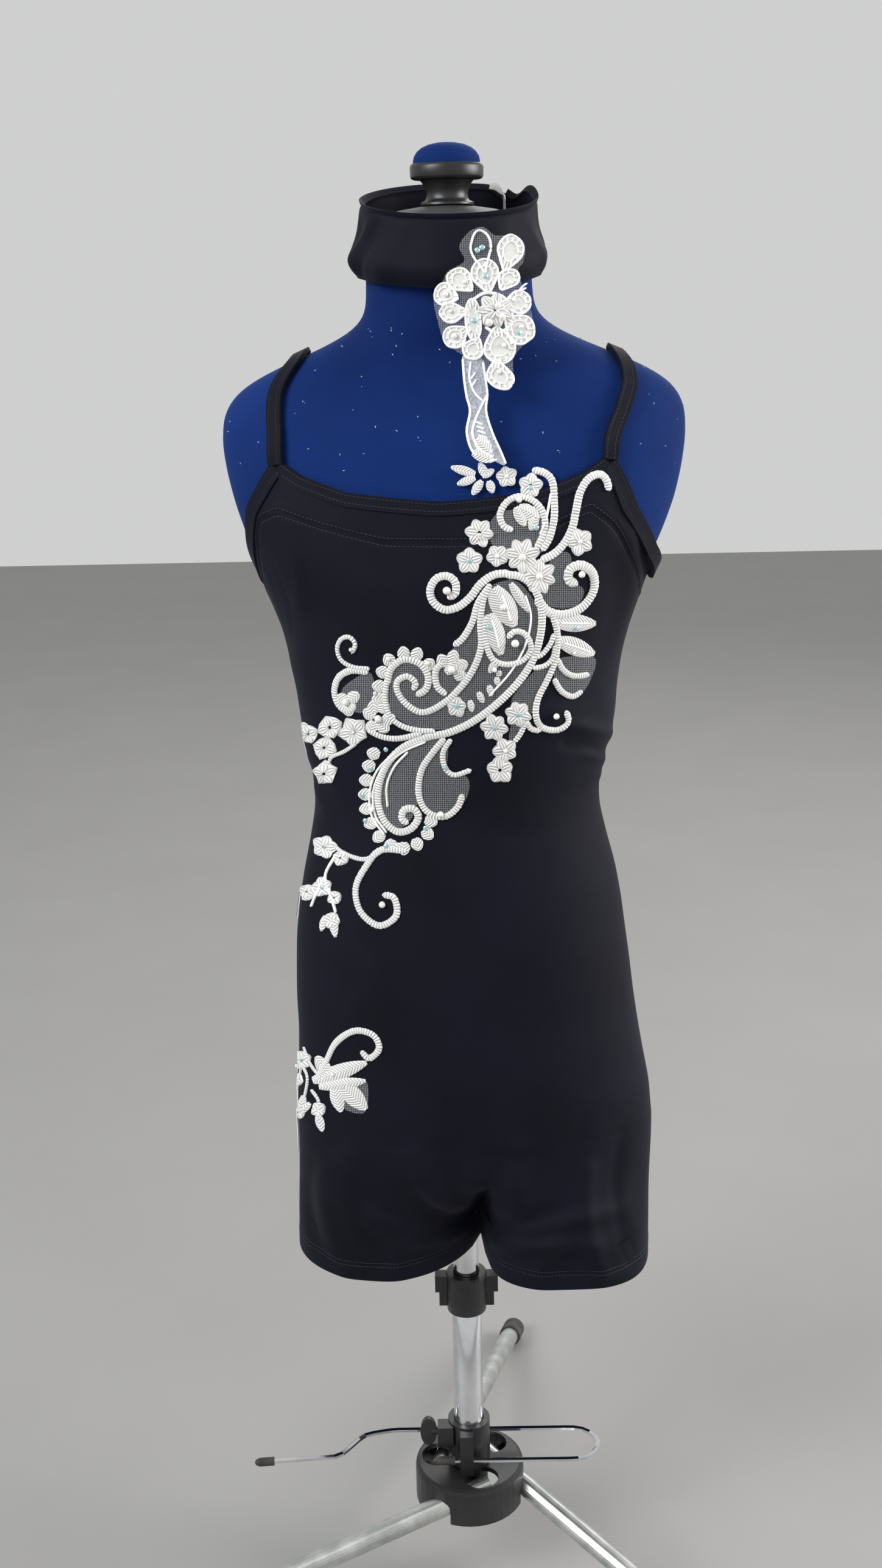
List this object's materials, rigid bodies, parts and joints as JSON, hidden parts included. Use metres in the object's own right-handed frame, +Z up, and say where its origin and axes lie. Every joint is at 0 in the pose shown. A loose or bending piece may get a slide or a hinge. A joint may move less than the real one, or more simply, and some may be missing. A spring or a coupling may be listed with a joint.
{
  "type": "dance unitard on dress form",
  "caption": "Child's strappy knit dance unitard with short legs, lace appliqué and loose collar, worn by a limbless dress form on a folding tripod stand with a hem marker.",
  "frame": {"origin": "centre of the whole outline on the floor plane, under the feet", "axes": "+Z up along the pole, -Y towards the garment's front, +X to the viewer's right"},
  "size_m": [0.5452, 0.5122, 1.057],
  "materials": {
    "knit": "matt black-navy stretch knit with a faint sheen",
    "form_jersey": "matt deep blue jersey",
    "lace": "satin-stitched ivory lace",
    "chrome": "polished chromed steel tube",
    "zinc": "zinc-plated steel, satin",
    "black_plastic": "satin black moulding",
    "foot_rubber": "matt grey-black rubber"
  },
  "bodies": {
    "stand": {"outer_tube": "chrome", "hub": "black_plastic", "height_collar": "black_plastic"},
    "form": {"inner_tube": "chrome", "form_torso": "form_jersey", "pincushion": "form_jersey", "neck_cap": "black_plastic", "knob_spool": "black_plastic", "knob_ring": "black_plastic", "front_body": "knit", "back_body": "knit", "yoke_band": "knit", "side_front_left": "knit", "side_front_right": "knit", "neck_binding_front": "knit", "neck_binding_back": "knit", "armhole_binding_right_front": "knit", "armhole_binding_right_back": "knit", "armhole_binding_left_front": "knit", "armhole_binding_left_back": "knit", "strap_left": "knit", "strap_right": "knit", "leg_panel_left": "knit", "leg_panel_right": "knit", "leg_hem_left": "knit", "leg_hem_right": "knit", "crotch_gusset": "knit", "collar": "knit", "lace_chest": "lace", "lace_waist": "lace", "lace_sprig": "lace", "lace_branch": "lace", "lace_hip": "lace", "lace_flower": "lace", "lace_link": "lace"},
    "back_leg": {"leg_back": "zinc", "leg_cap_back": "foot_rubber"},
    "left_leg": {"leg_left": "zinc", "leg_cap_left": "foot_rubber"},
    "right_leg": {"leg_right": "zinc", "leg_cap_right": "foot_rubber"},
    "hem_marker": {"marker_holder": "black_plastic", "marker_wire": "chrome", "wire_cap_back": "foot_rubber", "wire_cap_front": "foot_rubber"},
    "screw": {"thumb_screw": "black_plastic"}
  },
  "joints": [
    {"name": "height", "type": "slide", "parent": "stand", "child": "form", "axis": [0, 0, 1], "range_m": [-0.02, 0.12]},
    {"name": "back_leg_fold", "type": "hinge", "parent": "stand", "child": "back_leg", "pos_m": [-0.00252, -0.05055, 0.0854], "axis": [-0.9759, 0.2181, 0], "range_deg": [0, 76]},
    {"name": "left_leg_fold", "type": "hinge", "parent": "stand", "child": "left_leg", "pos_m": [0.02783, -0.07845, 0.0854], "axis": [0.299, -0.9542, 0], "range_deg": [0, 76]},
    {"name": "right_leg_fold", "type": "hinge", "parent": "stand", "child": "right_leg", "pos_m": [0.03682, -0.03822, 0.0854], "axis": [0.6769, 0.7361, 0], "range_deg": [0, 76]},
    {"name": "marker_slide", "type": "slide", "parent": "stand", "child": "hem_marker", "axis": [0, 0, 1], "range_m": [0, 0.09]},
    {"name": "screw_turn", "type": "hinge", "parent": "hem_marker", "child": "screw", "pos_m": [-0.0103, -0.06274, 0.127], "axis": [1, 0, 0], "range_deg": [-170, 0]}
  ]
}
